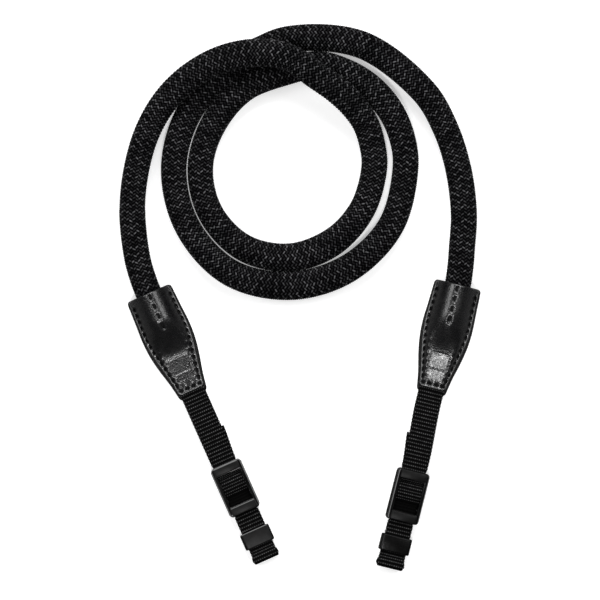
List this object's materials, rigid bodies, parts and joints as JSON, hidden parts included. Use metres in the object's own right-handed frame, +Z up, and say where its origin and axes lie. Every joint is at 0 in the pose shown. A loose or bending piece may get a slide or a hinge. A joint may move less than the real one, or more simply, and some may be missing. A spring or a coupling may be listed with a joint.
{
  "type": "rope camera strap",
  "caption": "Braided rope camera strap lying in a loose coil, its ends sewn into leather tabs with webbing loops that carry ladder sliders and plastic keepers.",
  "frame": {"origin": "centre of the whole lying strap's box, on the surface that it lies on", "axes": "+Z up from that surface; +Y towards the top of the coil, away from the two webbing loops; +X towards the right-hand tab"},
  "size_m": [0.139, 0.2106, 0.0206],
  "materials": {
    "braided_rope": "matt black braid with dark grey flecks",
    "webbing": "matt ribbed nylon",
    "leather": "smooth semi-gloss black leather",
    "leather_lining": "satin black leather",
    "black_plastic": "satin moulded plastic"
  },
  "bodies": {
    "strap": {"rope": "braided_rope", "leather_back_left": "leather_lining", "leather_front_left": "leather", "webbing_left": "webbing", "slider_left": "black_plastic", "leather_back_right": "leather_lining", "leather_front_right": "leather", "webbing_right": "webbing", "slider_right": "black_plastic"},
    "keeper_left": {"keeper_left": "black_plastic"},
    "keeper_right": {"keeper_right": "black_plastic"}
  },
  "joints": [
    {"name": "keeper_left_slide", "type": "slide", "parent": "strap", "child": "keeper_left", "axis": [0.4067, -0.9135, 0], "range_m": [-0.007, 0.001]},
    {"name": "keeper_right_slide", "type": "slide", "parent": "strap", "child": "keeper_right", "axis": [-0.2453, -0.9694, 0], "range_m": [-0.0054, 0.001]}
  ]
}
